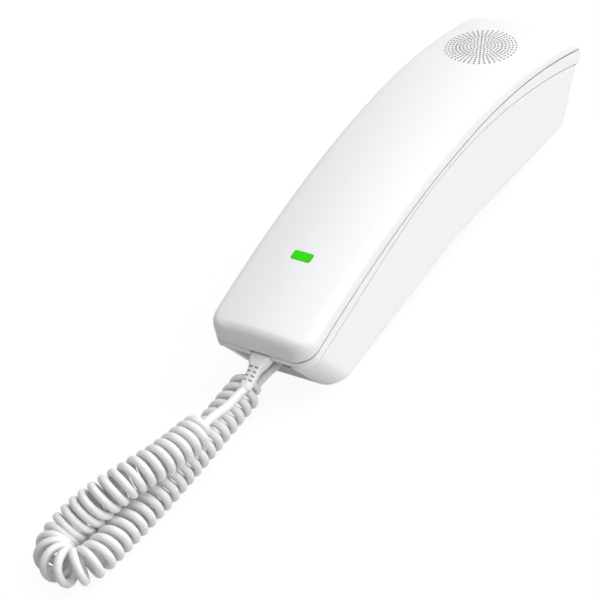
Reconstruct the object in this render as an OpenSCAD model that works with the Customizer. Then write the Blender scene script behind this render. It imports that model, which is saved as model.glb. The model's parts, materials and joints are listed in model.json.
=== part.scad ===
// Slimline wall phone: an arched one-piece handset lying on its slim wall base, with a curly cord.
// Frame: X across the phone, Y along it towards the earpiece, Z out of the wall.
// The origin is the middle of the plane that the feet stand on.

/* [Overall] */
// Width of the handset and the base
body_w = 50; // [46:1:58]
// Height of the handset's parting line above the wall at the bottom end
seam_z = 23.8; // [22:0.2:28]
// Slope of the parting line at the bottom end, in degrees
seam_slope = 14.9; // [12:0.1:17]
// Length of the arch's flattest stretch, at the bottom end
arch_len_1 = 76; // [64:1:92]
// Length of the arch's middle stretch
arch_len_2 = 60; // [50:1:72]
// Length of the arch's tightest stretch, at the ear end
arch_len_3 = 82.4; // [68:0.2:98]
// Radius of the arch at the bottom end
arch_r_1 = 577; // [480:1:700]
// Radius of the arch in the middle
arch_r_2 = 402; // [340:1:480]
// Radius of the arch at the ear end
arch_r_3 = 218; // [200:1:262]

/* [Handset] */
// Height of the outer shell's crown above the parting line
crown_h = 9.8; // [8.5:0.1:12]
// Radius of the crown across the handset
crown_r = 120; // [90:5:200]
// Radius of the outer shell's long edges up to the middle
edge_r = 6; // [4:0.5:7]
// Radius of the long edges at the ear end
ear_edge_r = 7.6; // [6:0.2:8]
// Corner radius at the bottom end, seen from above
corner_r = 8.5; // [5:0.5:11]
// Corner radius at the ear end, seen from above
ear_corner_r = 2.5; // [1:0.5:5]
// Radius of the bottom end's upper edge, seen from the side
nose_r = 6.5; // [5.5:0.5:9.5]
// Radius of the ear end's upper edge, seen from the side
brow_r = 22; // [16:0.5:26]
// Wall of the two handset shells
shell_wall = 2.2; // [1.8:0.1:2.6]
// Depth of the inner shell's visible strip near the bottom end
strip_bottom = 4.8; // [4:0.1:6]
// Depth of the strip where it is narrowest
strip_mid = 2.2; // [1.8:0.1:3]
// Depth of the strip at the ear end
strip_ear = 6.4; // [5:0.1:7.4]
// How far the inner face stands below the strip
belly_drop = 5; // [4.5:0.1:6]
// Width of the inner face
belly_w = 42; // [40:0.5:44]
// Thickness of the inner face's floor
belly_floor = 1.8; // [1.5:0.1:2.2]
// Width of the message lamp's window
lamp_w = 9.6; // [7:0.1:12]
// Length of the message lamp's window
lamp_l = 4.6; // [3.6:0.1:6]
// Distance of the lamp from the bottom end, along the parting line
lamp_s = 42.2; // [36:0.2:50]
// Radius of the round grille over the ringer
grille_r = 15.2; // [12:0.1:15.4]
// Distance of the grille and the earpiece from the bottom end, along the parting line
ear_s = 178.5; // [172:0.5:182]
// Radius of one grille hole
grille_hole_r = 0.5; // [0.4:0.05:0.6]

/* [Keys] */
// Width of a digit key
key_w = 10.5; // [9:0.1:10.8]
// Length of a digit key
key_l = 6.5; // [5.5:0.1:7.4]
// Distance between digit keys across the handset
key_pitch_x = 12.4; // [11.8:0.1:12.6]
// Distance between digit keys along the handset
key_pitch_s = 10; // [9.4:0.1:10.5]
// Width of a function key
function_key_w = 7.6; // [6:0.1:8]
// Length of a function key
function_key_l = 4.6; // [4:0.1:5.5]
// Travel of a key
key_travel = 0.8; // [0.5:0.1:0.8]

/* [Base] */
// Wall of the base
base_wall = 2.4; // [2:0.1:3]
// Lean of the bottom end away from the wall's normal, in degrees
base_lean = 32.5; // [28:0.5:38]
// Lean of the ear end away from the wall's normal, in degrees
ear_lean = 42.5; // [35:0.5:46]
// Height of the back's two ends above the feet
back_end_z = 0.7; // [0.5:0.1:1.4]
// Height of the back where its two flat halves meet
back_mid_z = 7; // [5:0.5:8]
// Thickness of the back cover
cover_t = 2; // [1.6:0.1:2.4]
// Clearance between the handset and its cradle
cradle_gap = 0.6; // [0.4:0.1:0.9]
// Width of the pocket for the cord's plug
pocket_w = 28; // [24:1:32]
// Travel of the hook plunger
plunger_travel = 3; // [2:0.1:3]
// Travel of the hanger tab
tab_travel = 3.5; // [2:0.1:3.6]
// Distance between the two keyholes
keyhole_pitch = 85.7; // [80:0.1:90]
// Radius of a keyhole's narrow end
keyhole_r = 2.3; // [1.8:0.1:2.6]

/* [Cord] */
// Diameter of the cord's jacket
cord_d = 3.4; // [3:0.1:4]
// Outer diameter of the curly run
coil_d = 15.4; // [13:0.1:15.5]

/* [Hidden] */
$fn = 48;

eps = 0.01;
shell_color = [0.95, 0.95, 0.96];
seam_gap = 0.4;
piece_gap = 0.3;
half_w = body_w / 2;
far = 400;

// ---- Paths: a pose is [y, z, heading]; an arc is [length, radius] and always turns down ----

arch = [[arch_len_1, arch_r_1], [arch_len_2, arch_r_2], [arch_len_3, arch_r_3]];
arch_len = arch_len_1 + arch_len_2 + arch_len_3;

function step_arc(p, radius, s) =
    let (a = p[2], b = a - s / radius * 180 / PI)
    [p[0] + radius * (sin(a) - sin(b)), p[1] + radius * (cos(b) - cos(a)), b];

function walk(p, s, i = 0) =
    i == len(arch) - 1 || s <= arch[i][0]
        ? step_arc(p, arch[i][1], s)
        : walk(step_arc(p, arch[i][1], arch[i][0]), s - arch[i][0], i + 1);

phone_l = walk([0, seam_z, seam_slope], arch_len)[0];
seam_start = [-phone_l / 2, seam_z, seam_slope];

// The parting line of the handset, at a distance s from the bottom end
function seam_at(s) = walk(seam_start, s);

// A pose's point, moved by n along its normal
function off(p, n) = [p[0] - n * sin(p[2]), p[1] + n * cos(p[2])];

// Depth of the inner shell's strip: narrowest before the middle, swelling softly towards both ends
strip_mid_s = arch_len * 0.467;
strip_turn = 241;
strip_soft = 0.584;
function strip_at(s) =
    let (u = 1 - s / strip_mid_s, v = (s - strip_mid_s) / (arch_len - strip_mid_s))
    s < strip_mid_s
        ? strip_mid + (strip_bottom - strip_mid) * (1 - cos(strip_turn * u)) / 2
        : strip_mid + (strip_ear - strip_mid) * (1 - exp(-pow(v / strip_soft, 2)))
            / (1 - exp(-pow(1 / strip_soft, 2)));

// The base's rim line, under the strip
function rim_point(s) = off(seam_at(s), -strip_at(s));
function rim_at(s) =
    let (p = rim_point(s), q = rim_point(s + 0.5) - rim_point(s - 0.5))
    [p[0], p[1], atan2(q[1], q[0])];

function seam_line(s0, s1, n, count = 30) =
    [for (i = [0:count]) off(seam_at(s0 + (s1 - s0) * i / count), n)];
function rim_line(s0, s1, n, count = 30) =
    [for (i = [0:count]) off(rim_at(s0 + (s1 - s0) * i / count), n)];

// The distance along the arch at which its line, moved by n, reaches a given y
function seam_s(y, n, s = arch_len / 2, tries = 8) =
    tries == 0 ? s : seam_s(y, n, s + (y - off(seam_at(s), n)[0]) / cos(seam_at(s)[2]), tries - 1);

function arc_points(c, r, a0, a1, count = 8) =
    [for (i = [0:count]) c + r * [cos(a0 + (a1 - a0) * i / count), sin(a0 + (a1 - a0) * i / count)]];

seam_end = seam_at(arch_len);
rim_start = rim_at(0);

// ---- Building blocks ----

// A side outline [y, z], as a solid of the given width across the phone
module side(points, width) {
    translate([-width / 2, 0, 0]) rotate([90, 0, 90]) linear_extrude(width) polygon(points);
}

// A plan with its own corner radius at each end
module plan(width, y0, y1, r0, r1) {
    w = width / 2;
    polygon(concat(
        arc_points([-w + r0, y0 + r0], r0, 180, 270),
        arc_points([w - r0, y0 + r0], r0, 270, 360),
        arc_points([w - r1, y1 - r1], r1, 0, 90),
        arc_points([-w + r1, y1 - r1], r1, 90, 180)));
}

module upright_plan(width, inset, r0, r1) {
    translate([0, 0, -20]) linear_extrude(120)
        plan(width, -phone_l / 2 + inset, phone_l / 2 - inset, r0, r1);
}

// The children's frame on the parting line: Y along it, Z along its normal
module on_seam(s, x = 0) {
    p = seam_at(s);
    translate([x, p[0], p[1]]) rotate([p[2], 0, 0]) children();
}

module on_rim(s, x = 0) {
    p = rim_at(s);
    translate([x, p[0], p[1]]) rotate([p[2], 0, 0]) children();
}

module block(w, l, z0, z1) {
    translate([-w / 2, -l / 2, z0]) cube([w, l, z1 - z0]);
}

module rod(r, z0, z1, sides = 48) {
    translate([0, 0, z0]) cylinder(r = r, h = z1 - z0, $fn = sides);
}

module ring(r_out, r_in, z0, z1) {
    difference() {
        rod(r_out, z0, z1);
        rod(r_in, z0 - 1, z1 + 1);
    }
}

// A block with rounded upright corners
module soft_block(w, l, r, z0, z1) {
    translate([0, 0, z0]) linear_extrude(z1 - z0) plan(w, -l / 2, l / 2, r, r);
}

// ---- Handset shells ----

// The brow meets the end wall at this angle from level
brow_turn = 15;

// Side profile of the outer shell's top as [y, z], with its nose and its brow rounded
function top_profile(inset) =
    let (n = crown_h - inset, nr = nose_r - inset, br = brow_r - inset,
        y0 = -phone_l / 2 + inset, y1 = phone_l / 2 - inset,
        s0 = seam_s(y0 + nr, n - nr), s1 = seam_s(y1 - br * cos(brow_turn), n - br),
        nose = off(seam_at(s0), n - nr), brow = off(seam_at(s1), n - br),
        line = seam_line(s0, s1, n, 17))
    concat(arc_points(nose, nr, 180, 90 + seam_at(s0)[2], 6),
        [for (i = [1:16]) line[i]],
        arc_points(brow, br, 90 + seam_at(s1)[2], brow_turn, 7));

// Half the width of the plan at a given y
function plan_half(y, inset) =
    let (r0 = corner_r - inset, r1 = max(ear_corner_r - inset, 0.3),
        d0 = max(0, r0 - (y + phone_l / 2 - inset)), d1 = max(0, r1 - (phone_l / 2 - inset - y)))
    half_w - inset - (d0 > 0 ? r0 - sqrt(max(0, r0 * r0 - d0 * d0)) : 0)
        - (d1 > 0 ? r1 - sqrt(max(0, r1 * r1 - d1 * d1)) : 0);

// A ring across the shell at profile point p, from the parting line moved down by low
function crown_ring(p, inset, low) =
    let (seam = off(seam_at(seam_s(p[0], 0)), 0)[1], bottom = seam - low,
        half = plan_half(p[0], inset),
        bow = max(crown_r, half_w * half_w / (0.6 * (p[1] + inset - seam))) - inset,
        along = max(0, 2 * p[0] / phone_l), wanted = edge_r + (ear_edge_r - edge_r) * along * along,
        r = min(wanted - inset, (p[1] - bottom - half * half / (2 * bow)) * 0.85),
        centre = p[1] - bow, reach = half - r,
        lift = centre + sqrt((bow - r) * (bow - r) - reach * reach),
        a = atan2(lift - centre, reach),
        right = concat([[half, bottom]], arc_points([reach, lift], r, 0, a, 5)),
        crown = arc_points([0, centre], bow, a, 180 - a, 8),
        left = [for (i = [len(right) - 1:-1:0]) [-right[i][0], right[i][1]]],
        ring = concat(right, [for (i = [1:7]) crown[i]], left), n = len(ring))
    [for (i = [0:n - 1]) let (q = ring[(i + 11) % n]) [q[0], p[0], q[1]]];

module outer_loft(inset, low) {
    tube_mesh([for (p = top_profile(inset)) crown_ring(p, inset, low)]);
}

handset_screw_at = [[-14, 92], [14, 92], [-11, 198], [11, 198]];
handset_screw_r = 1.1;
boss_r = 3.4;
boss_meet = -0.2;
boss_top = crown_h - shell_wall + 0.2;
well_r = 16.2;
well_wall = 1.2;
grille_rings = [for (i = [0:5]) i * grille_r / 5.6];

module grille_holes() {
    on_seam(ear_s)
        for (i = [0:len(grille_rings) - 1]) {
            count = i == 0 ? 1 : 6 * i;
            for (k = [0:count - 1]) rotate([0, 0, 360 / count * k]) translate([grille_rings[i], 0, 0])
                rod(grille_hole_r, 3, crown_h + 2, 16);
        }
}

module handset_outer_shell() {
    color(shell_color) difference() {
        union() {
            difference() {
                outer_loft(0, 0);
                outer_loft(shell_wall, 3);
            }
            for (b = handset_screw_at) on_seam(b[1], b[0]) rod(boss_r, boss_meet + 0.2, boss_top);
            on_seam(ear_s) ring(well_r + well_wall, well_r, 2.6, boss_top);
        }
        for (b = handset_screw_at) on_seam(b[1], b[0]) rod(handset_screw_r, -1, 5);
        on_seam(lamp_s) soft_block(lamp_w, lamp_l, 1, 0, crown_h + 2);
        grille_holes();
    }
}

// Outline between a line under the rim and a line by the seam
function strip_outline(s0, s1, low, high) =
    concat(rim_line(s0, s1, low), [for (p = seam_line(s1, s0, high)) p]);

belly_s0 = 7;
belly_s1 = arch_len - 10;
belly_corner_r = 5;
belly_wall = 1.8;
ledge_t = 1.4;

module belly_plan(grow) {
    y0 = rim_point(belly_s0)[0] - grow;
    y1 = rim_point(belly_s1)[0] + grow;
    translate([0, 0, -20]) linear_extrude(120)
        plan(belly_w + 2 * grow, y0, y1, belly_corner_r + grow, belly_corner_r + grow);
}

// Everything on the bottom side of the leaning ear end
module ear_end_trim() {
    y1 = seam_end[0];
    z1 = seam_end[1];
    side([[-far, -20], [y1 - (z1 + 20) * tan(ear_lean), -20], [y1, z1], [y1 + 20, z1 + 20],
        [y1 + 20, 100], [-far, 100]], body_w + 20);
}

// Keys: [x, distance along the arch, width, length]; the inner face is read from below, so the first column is at +X
key_s0 = 26;
function digit_key(i) =
    [(1 - i % 3) * key_pitch_x, key_s0 + (3 - floor(i / 3)) * key_pitch_s, key_w, key_l];
function_key_s = key_s0 + 3 * key_pitch_s + 10.4;
function_key_pitch = 9.5;
function function_key(i) =
    [(1.5 - i) * function_key_pitch, function_key_s, function_key_w, function_key_l];
keys = concat([for (i = [0:11]) digit_key(i)], [for (i = [0:3]) function_key(i)]);
key_gap = 0.3;
key_stand = 1;
key_lip = 0.7;
key_lip_t = 0.8;

floor_top = -belly_drop + belly_floor;
mat_z0 = floor_top + 0.1 + key_lip_t + key_travel + 0.3;
mat_t = 1;
board_z0 = mat_z0 + mat_t;
board_t = 1.2;
board_s = 47;
board_l = 72;
board_w = 37;
board_post_at = [[-16, 18.5], [16, 18.5], [-16, 76.5], [16, 76.5]];
microphone_s = 15;
microphone_r = 3;

plunger_s = arch_len * 0.585;
tab_s = plunger_s + 24;
tab_w = 12;
tab_t = 2;

boot_x = 0.9;
boot_w = 9.3;
boot_l = 4.9;
boot_heel_h = 2.4;
boot_neck_w = 5.4;
boot_neck_h = 4.2;
boot_neck_l = 9.6;
boot_slope = 15;

// The frame of the boot's neck: X across, Y up, Z along it towards the cord
module boot_neck_frame() {
    translate([boot_x, -phone_l / 2 - 3.9, seam_z - 5.1]) rotate([90 + boot_slope, 0, 0]) children();
}

module handset_inner_shell() {
    color(shell_color) difference() {
        union() {
            difference() {
                union() {
                    intersection() {
                        side(strip_outline(0, arch_len, seam_gap, -seam_gap), body_w + 2);
                        upright_plan(body_w, 0, corner_r, ear_corner_r);
                        ear_end_trim();
                    }
                    intersection() {
                        side(strip_outline(belly_s0 - 4, belly_s1 + 4, -belly_drop, -seam_gap), body_w);
                        belly_plan(0);
                    }
                }
                intersection() {
                    side(strip_outline(0, arch_len, seam_gap + ledge_t, 5), body_w);
                    upright_plan(body_w - 2 * shell_wall, shell_wall, corner_r - shell_wall,
                        max(ear_corner_r - shell_wall, 0.5));
                    translate([0, -shell_wall / cos(ear_lean), 0]) ear_end_trim();
                }
                intersection() {
                    side(strip_outline(belly_s0 - 4, belly_s1 + 4, floor_top, 5), body_w);
                    belly_plan(-belly_wall);
                }
            }
            intersection() {
                belly_plan(0);
                union() {
                    for (b = handset_screw_at) on_seam(b[1], b[0]) rod(boss_r, -14, boss_meet);
                    for (b = board_post_at) on_rim(board_s, b[0]) translate([0, b[1] - board_s, 0])
                        rod(1.5, -14, board_z0);
                }
                side(strip_outline(belly_s0 - 4, belly_s1 + 4, -belly_drop, 5), body_w);
            }
        }
        for (k = keys) on_rim(k[1], k[0])
            soft_block(k[2] + 2 * key_gap, k[3] + 2 * key_gap, 1.3, -belly_drop - 2, floor_top + 1);
        for (b = handset_screw_at) on_seam(b[1], b[0]) {
            rod(handset_screw_r + 0.4, -16, 1);
            rod(handset_screw_r + 1.7, -16, -strip_at(b[1]) - belly_drop + 2.2);
        }
        on_rim(ear_s) for (k = [0:6]) rotate([0, 0, k * 60])
            translate([k == 0 ? 0 : 5, 0, 0]) rod(0.9, -belly_drop - 2, floor_top + 1);
        on_rim(microphone_s) rod(0.8, -belly_drop - 2, floor_top + 1);
        translate([0, tab_y, 0]) block(tab_w + 1.2, tab_t + 1.2, tab_z - 1, tab_z + tab_travel + 1.5);
        translate([boot_x - boot_w / 2 - piece_gap, -phone_l / 2 - 1, 10])
            cube([boot_w + 2 * piece_gap, boot_l + 1.4, 20]);
    }
}

module lamp_lens() {
    color([0.3, 0.9, 0.15]) on_seam(lamp_s) {
        soft_block(lamp_w - 0.1, lamp_l - 0.1, 0.95, crown_h - shell_wall - 0.4, crown_h - 0.08);
        block(6, 3, lamp_guide_z, crown_h - shell_wall);
    }
}

led_h = 1.2;
lamp_guide_z = board_z0 + board_t + led_h + piece_gap - strip_at(lamp_s);

module on_board(s, x = 0) {
    on_rim(board_s, x) translate([0, s - board_s, 0]) children();
}

module message_lamp_led() {
    color([0.85, 0.95, 0.8]) on_board(lamp_s) block(3, 2, board_z0 + board_t, board_z0 + board_t + led_h);
}

// ---- Handset inside ----

ringer_r = 15.6;
ringer_top = 5.6;

module ringer_speaker_frame() {
    color([0.25, 0.25, 0.27]) on_seam(ear_s) difference() {
        union() {
            rod(ringer_r, ringer_top - 1.2, ringer_top);
            rod(ringer_r - 3, 1.2, ringer_top - 1.2);
        }
        rod(ringer_r - 1.6, ringer_top - 0.9, ringer_top + 1);
        rod(ringer_r - 4, 2, ringer_top);
        rod(3, 0, 3);
    }
}

module ringer_speaker_magnet() {
    color([0.6, 0.6, 0.62]) on_seam(ear_s) difference() {
        rod(7, -1.2, 1.2);
        rod(2, 0.2, 2);
    }
}

module ringer_speaker_cone() {
    color([0.15, 0.15, 0.16]) on_seam(ear_s) rotate_extrude()
        polygon([[0, 3.4], [5, 3], [ringer_r - 4.2, ringer_top - 1.2], [ringer_r - 4.2, ringer_top - 0.6],
            [5, 3.6], [0, 4]]);
}

module ringer_cloth() {
    color([0.1, 0.1, 0.1]) on_seam(ear_s) rod(ringer_r, ringer_top, ringer_top + 0.3);
}

receiver_r = 13.5;
gasket_t = 1;
receiver_h = 5;

module earpiece_receiver() {
    color([0.3, 0.3, 0.32]) on_rim(ear_s) difference() {
        rod(receiver_r, floor_top + gasket_t, floor_top + gasket_t + receiver_h);
        for (k = [0:5]) rotate([0, 0, 60 * k]) translate([5, 0, 0])
            rod(0.9, floor_top, floor_top + gasket_t + 1);
    }
}

module earpiece_gasket() {
    color([0.1, 0.1, 0.1]) on_rim(ear_s) ring(receiver_r, receiver_r - 3, floor_top, floor_top + gasket_t);
}

module microphone() {
    color([0.7, 0.7, 0.7]) on_rim(microphone_s) rod(microphone_r, floor_top + 0.4, floor_top + 2.2);
}

module microphone_boot() {
    color([0.1, 0.1, 0.1]) on_rim(microphone_s) difference() {
        rod(microphone_r + 1.2, floor_top, floor_top + 2.2);
        rod(microphone_r, floor_top + 0.4, floor_top + 3);
        rod(0.8, floor_top - 1, floor_top + 3);
    }
}

module handset_circuit_board() {
    color([0.1, 0.4, 0.2]) on_board(board_s) block(board_w, board_l, board_z0, board_z0 + board_t);
}

module keypad_mat() {
    mat_s0 = key_s0 - key_l / 2 - 1;
    mat_s1 = function_key_s + function_key_l / 2 + 1;
    color([0.75, 0.77, 0.8]) on_board((mat_s0 + mat_s1) / 2)
        soft_block(board_w - 1, mat_s1 - mat_s0, 1.5, mat_z0, board_z0);
}

module handset_screws() {
    color([0.7, 0.7, 0.72]) for (b = handset_screw_at) on_seam(b[1], b[0]) {
        head = -strip_at(b[1]) - belly_drop + 2.2;
        rod(handset_screw_r - 0.02, head - eps, 4.6);
        rod(handset_screw_r + 1.3, head - 1.4, head);
    }
}

// A key: cap through the inner face, lip behind it
module key(i) {
    k = keys[i];
    color([0.93, 0.93, 0.94]) on_rim(k[1], k[0]) {
        soft_block(k[2], k[3], 1, -belly_drop - key_stand, floor_top + 0.2);
        soft_block(k[2] + 2 * key_lip, k[3] + 2 * key_lip, 1.5, floor_top + 0.1, floor_top + 0.1 + key_lip_t);
    }
}

// ---- Base ----

back_y0 = rim_start[0] + (rim_start[1] - back_end_z) * tan(base_lean);
back_y1 = seam_end[0] - (seam_end[1] - back_end_z) * tan(ear_lean);
back_mid_y = (back_y0 + back_y1) / 2 + 3;

// Height of the back above the feet
function back_z(y) = y < back_mid_y
    ? back_end_z + (back_mid_z - back_end_z) * (y - back_y0) / (back_mid_y - back_y0)
    : back_end_z + (back_mid_z - back_end_z) * (back_y1 - y) / (back_y1 - back_mid_y);

bottom_y = rim_start[0] * cos(base_lean) + rim_start[1] * sin(base_lean);

module base_form() {
    ear_y = seam_end[0] * cos(ear_lean) - seam_end[1] * sin(ear_lean);
    intersection() {
        side(concat([[back_y0 - 5, back_end_z - 0.5]], base_under()), body_w + 2);
        rotate([base_lean, 0, 0]) translate([0, bottom_y, -200]) linear_extrude(far)
            plan(body_w, 0, far, corner_r, 1);
        rotate([-ear_lean, 0, 0]) translate([0, ear_y - far, -200]) linear_extrude(far)
            plan(body_w, 0, far, 1, ear_corner_r);
    }
}

// The base's side outline without its ends, which the leaning plans cut
function base_under() =
    concat([[back_y0 - 5, back_end_z], [back_y0, back_end_z], [back_mid_y, back_mid_z], [back_y1, back_end_z],
        [back_y1 + 30, back_end_z]], rim_line(arch_len, 0, 0), [[rim_start[0] - 10, rim_start[1] - 3]]);

jack_y = -94;
pocket_wall = 2;
cradle_top_n = -belly_drop - cradle_gap;
cradle_floor = 2;
key_bed_n = cradle_top_n - key_stand;

module cradle_hollow() {
    intersection() {
        side(strip_outline(0, arch_len, cradle_top_n, 2), body_w);
        belly_plan(cradle_gap);
    }
    intersection() {
        side(strip_outline(key_s0 - 8, function_key_s + 8, key_bed_n, 2), body_w);
        translate([-belly_w / 2 + 1, -far / 2, 0]) cube([belly_w - 2, far, 60]);
    }
}

module base_hollow() {
    leaned = base_wall / cos(base_lean);
    leaned_ear = base_wall / cos(ear_lean);
    difference() {
        intersection() {
            side(concat([[-far, -20], [far, -20]],
                rim_line(arch_len, 0, cradle_top_n - cradle_floor), [[-far, rim_start[1]]]), body_w - 2 * base_wall);
            side([[back_y0 + leaned - 20 * tan(base_lean) * -1, back_end_z - 20],
                [back_y0 + leaned - 60 * tan(base_lean), back_end_z + 60],
                [back_y1 - leaned_ear + 60 * tan(ear_lean), back_end_z + 60],
                [back_y1 - leaned_ear - 20 * tan(ear_lean), back_end_z - 20]], body_w);
            rotate([base_lean, 0, 0]) translate([0, bottom_y, -200]) linear_extrude(far)
                plan(body_w - 2 * base_wall, base_wall, far, corner_r - base_wall, 1);
        }
        translate([-pocket_w / 2 - pocket_wall, -far, -30]) cube([pocket_w + 2 * pocket_wall, far + jack_y + pocket_wall, 80]);
        side(concat([[-far, 60], [-far, 0]],
            [for (p = rim_line(key_s0 - 10, function_key_s + 10, key_bed_n - cradle_floor)) p],
            [[rim_point(function_key_s + 10)[0], 60]]), belly_w);
    }
}

plunger_y = rim_point(plunger_s)[0];
plunger_belly_z = off(rim_at(plunger_s), -belly_drop)[1];
plunger_r = 2.8;
main_board_z = 10.4;
main_board_t = 1.6;
main_board_y0 = -48;
main_board_y1 = 56;
main_board_w = 36;
main_board_post_at = [[-14, -40], [14, -40], [-14, 48], [14, 48]];
cover_screw_at = [[-17.5, -64], [17.5, -64], [-17, 66], [17, 66]];
feet_at = [[-15.5, -79], [15.5, -79], [-15.5, 77], [15.5, 77]];
screw_r = 1.3;
tab_y = rim_point(tab_s)[0];
tab_z = off(rim_at(tab_s), cradle_top_n)[1];
tab_l = cradle_floor + tab_travel + 6.5;

jack_z = 9.4;
plug_w = 7.6;
plug_h = 6.6;
plug_l = 12.5;
plug_tail = 1.5;

module base_shell() {
    color(shell_color) difference() {
        union() {
            difference() {
                base_form();
                base_hollow();
            }
            intersection() {
                base_form();
                union() {
                    for (b = main_board_post_at) translate([b[0], b[1], 0]) rod(3, main_board_z + main_board_t, 60);
                    for (b = cover_screw_at) translate([b[0], b[1], 0]) rod(3.4, back_z(b[1]) + cover_t + 0.3, 60);
                    translate([0, plunger_y, 0])
                        rod(plunger_r + 2.2, plunger_guide_z, 60);
                }
            }
        }
        cradle_hollow();
        translate([-pocket_w / 2, -far, -20]) cube([pocket_w, far + jack_y, 80]);
        translate([0, jack_y, jack_z]) cube([plug_w + 0.6, 20, plug_h + 0.6], center = true);
        for (b = main_board_post_at) translate([b[0], b[1], 0]) rod(screw_r - 0.2, 8, main_board_z + 7);
        for (b = cover_screw_at) translate([b[0], b[1], 0]) rod(screw_r - 0.2, 0, back_z(b[1]) + cover_t + 8);
        translate([0, plunger_y, 0]) rod(plunger_r + 0.2, 0, 60);
        translate([0, tab_y, 0]) block(tab_w + 0.6, tab_t + 0.6, 0, 60);
    }
}

cover_y0 = back_y0 + 3.6;
cover_y1 = back_y1 - 3.8;
cover_gap = 0.3;
window_w = 11;
window_l = 13;
line_jack_y = main_board_y1 + 8.2;
keyhole_head_r = 4.6;
keyhole_reach = 7;

module keyhole(y) {
    translate([0, y, 0]) {
        rod(keyhole_r, -5, 20);
        translate([0, -keyhole_reach, 0]) rod(keyhole_head_r, -5, 20);
        translate([-keyhole_r, -keyhole_reach, -5]) cube([2 * keyhole_r, keyhole_reach, 25]);
    }
}

module base_back_cover() {
    width = body_w - 2 * base_wall - 2 * cover_gap;
    color(shell_color) difference() {
        intersection() {
            side([[cover_y0, back_z(cover_y0)], [back_mid_y, back_mid_z], [cover_y1, back_z(cover_y1)],
                [cover_y1, back_z(cover_y1) + cover_t], [back_mid_y, back_mid_z + cover_t],
                [cover_y0, back_z(cover_y0) + cover_t]], width);
            translate([0, 0, -20]) linear_extrude(60) plan(width, cover_y0, cover_y1, corner_r - base_wall, 1);
        }
        for (i = [-1, 1]) keyhole(i * keyhole_pitch / 2);
        for (b = cover_screw_at) translate([b[0], b[1], 0]) {
            rod(screw_r + 0.3, -5, 20);
            rod(3, -5, back_z(b[1]) + 1.3);
        }
        for (b = feet_at) translate([b[0], b[1], 0]) rod(foot_r + 0.1, -5, back_z(b[1]) + 0.7);
        translate([0, line_jack_y, 0]) block(window_w, window_l, -5, 20);
        for (i = [-2:2]) translate([0, i * 5 + 4, 0]) block(20, 1.6, -5, 20);
    }
}

foot_r = 4.5;

module rubber_feet() {
    color([0.2, 0.2, 0.2]) for (b = feet_at) translate([b[0], b[1], 0]) rod(foot_r, 0, back_z(b[1]) + 0.7);
}

module base_circuit_board() {
    color([0.1, 0.4, 0.2]) difference() {
        translate([-main_board_w / 2, main_board_y0, main_board_z])
            cube([main_board_w, main_board_y1 - main_board_y0, main_board_t]);
        for (b = main_board_post_at) translate([b[0], b[1], 0]) rod(screw_r + 0.2, 0, 20);
    }
}

module screw(length, head_z) {
    rod(screw_r - 0.22, head_z - eps, head_z + length);
    rod(2.5, head_z - 1.2, head_z);
}

module board_screws() {
    color([0.7, 0.7, 0.72]) for (b = main_board_post_at) translate([b[0], b[1], 0]) screw(6, main_board_z);
}

module cover_screws() {
    color([0.7, 0.7, 0.72]) for (b = cover_screw_at) translate([b[0], b[1], 0]) screw(8, back_z(b[1]) + 1.3);
}

switch_h = 6;
spring_z0 = main_board_z + main_board_t + switch_h;
spring_h = 3;
collar_t = 1.5;
plunger_guide_z = spring_z0 + spring_h + collar_t + plunger_travel + piece_gap;
spring_wire = 0.5;
spring_r = 3;
spring_turns = 4;

module hook_plunger() {
    top = plunger_belly_z - 0.3;
    color([0.93, 0.93, 0.94]) translate([0, plunger_y, 0]) {
        rod(plunger_r, spring_z0 + spring_h, top - 1);
        translate([0, 0, top - 1]) cylinder(r1 = plunger_r, r2 = plunger_r - 1, h = 1);
        rod(plunger_r + 1.6, spring_z0 + spring_h, spring_z0 + spring_h + collar_t);
        rod(1.4, spring_z0 + 0.9, spring_z0 + spring_h + eps);
    }
}

// A closed coil spring: an eight-sided wire swept round its turns
function spring_ring(i, count) =
    let (a = 360 * spring_turns * i / count,
        z = spring_z0 + spring_wire / 2 + (spring_h - spring_wire) * i / count)
    [for (k = [0:5]) let (b = 60 * k, r = spring_r + spring_wire / 2 * cos(b))
        [r * cos(a), plunger_y + r * sin(a), z + spring_wire / 2 * sin(b)]];

module hook_spring() {
    count = 16 * spring_turns;
    color([0.75, 0.75, 0.78]) tube_mesh([for (i = [0:count]) spring_ring(i, count)]);
}

// Joins rings of points, each with the same number, into a closed tube
module tube_mesh(rings) {
    n = len(rings[0]);
    m = len(rings);
    polyhedron(
        points = [for (r = rings) each r],
        faces = concat([[for (k = [n - 1:-1:0]) k]], [[for (k = [0:n - 1]) (m - 1) * n + k]],
            [for (i = [0:m - 2], k = [0:n - 1]) [i * n + k, (i + 1) * n + (k + 1) % n, (i + 1) * n + k]],
            [for (i = [0:m - 2], k = [0:n - 1]) [i * n + k, i * n + (k + 1) % n, (i + 1) * n + (k + 1) % n]]));
}

module hook_switch() {
    color([0.12, 0.12, 0.13]) translate([0, plunger_y, 0]) {
        block(12.8, 6.5, main_board_z + main_board_t, spring_z0);
        rod(1.2, spring_z0 - eps, spring_z0 + 0.8);
    }
}

module hanger_tab() {
    color([0.93, 0.93, 0.94]) translate([0, tab_y, 0]) {
        block(tab_w, tab_t, tab_z - tab_l, tab_z);
        block(tab_w + 4, tab_t + 2, tab_z - tab_l, tab_z - tab_l + 1.5);
    }
}

module handset_cord_jack() {
    front = jack_y + pocket_wall;
    color([0.12, 0.12, 0.13]) difference() {
        translate([-6, front, jack_z - 5.2]) cube([12, 13.5, 10]);
        translate([-(plug_w + 0.3) / 2, front - 1, jack_z - (plug_h + 0.3) / 2])
            cube([plug_w + 0.3, 12, plug_h + 0.3]);
    }
}

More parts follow.
